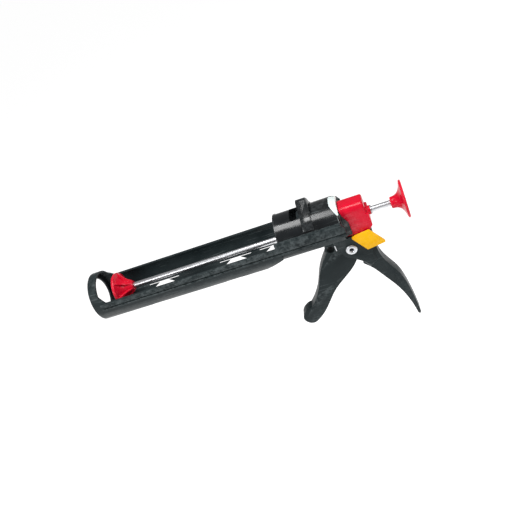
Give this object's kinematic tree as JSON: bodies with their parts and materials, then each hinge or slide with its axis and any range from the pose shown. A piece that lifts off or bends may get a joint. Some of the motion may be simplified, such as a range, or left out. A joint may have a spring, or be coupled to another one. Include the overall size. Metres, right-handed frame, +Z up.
{
  "type": "caulking gun",
  "caption": "Hand-held skeleton caulking gun with an open half-round cradle, push rod, squeeze trigger and release paddle.",
  "frame": {"origin": "centre of the round nozzle opening at the cradle's front face", "axes": "+X runs rearward along the push rod, +Z is up with the handles below, -Y is the gun's left side"},
  "size_m": [0.3586, 0.0568, 0.1888],
  "materials": {
    "black_plastic": "satin moulded",
    "black_shell": "semi-gloss moulded",
    "black_plate": "black paint",
    "red_plastic": "glossy moulded",
    "natural_nylon": "natural, uncoloured",
    "yellow_plastic": "satin",
    "bright_steel": "bright zinc plate",
    "plain_steel": "plain",
    "spring_steel": "drawn wire"
  },
  "bodies": {
    "frame": {"cradle_frame": "black_plastic", "barrel_cover": "black_shell", "tail_ring": "natural_nylon", "bulkhead_plate": "black_plate", "drive_housing": "red_plastic", "housing_screws": "plain_steel", "rear_bush": "bright_steel", "front_bush": "bright_steel", "pivot_rivet": "bright_steel", "pivot_washers": "natural_nylon", "return_spring": "spring_steel", "catch_spring": "spring_steel"},
    "rod": {"push_rod": "bright_steel", "pusher_disc": "red_plastic", "pusher_nut": "plain_steel", "pull_knob": "red_plastic", "knob_screw": "plain_steel"},
    "trigger": {"trigger": "black_plastic", "cutter_blade": "plain_steel"},
    "drive": {"drive_plate": "plain_steel"},
    "catch": {"catch_plate": "plain_steel"},
    "lever": {"release_lever": "yellow_plastic", "release_cam": "plain_steel"},
    "tab": {"slide_catch": "black_shell"}
  },
  "joints": [
    {"name": "rod_slide", "type": "slide", "parent": "frame", "child": "rod", "axis": [1, 0, 0], "range_m": [-0.019, 0.194]},
    {"name": "trigger_pivot", "type": "hinge", "parent": "frame", "child": "trigger", "pos_m": [0.2897, 0, -0.0348], "axis": [0, -1, 0], "range_deg": [0, 21.77], "stiffness_Nm_per_rad": 0.6, "springref_deg": -17.19},
    {"name": "drive_slide", "type": "slide", "parent": "frame", "child": "drive", "axis": [-1, 0, 0], "range_m": [0, 0.0086], "deforming": ["return_spring"]},
    {"name": "lever_pivot", "type": "hinge", "parent": "frame", "child": "lever", "pos_m": [0.3075, 0, -0.022], "axis": [0, -1, 0], "range_deg": [0, 11.46], "stiffness_Nm_per_rad": 0.05, "springref_deg": -17.19},
    {"name": "catch_tilt", "type": "hinge", "parent": "frame", "child": "catch", "pos_m": [0.3043, 0, 0.012], "axis": [0, 1, 0], "range_deg": [0, 4.5], "deforming": ["catch_spring"]},
    {"name": "tab_slide", "type": "slide", "parent": "frame", "child": "tab", "axis": [-1, 0, 0], "range_m": [0, 0.008]}
  ],
  "couplings": [
    {"joint": "drive_slide", "follows": "trigger_pivot", "m_per_rad": 0.0224},
    {"joint": "catch_tilt", "follows": "lever_pivot", "ratio": 0.388}
  ]
}
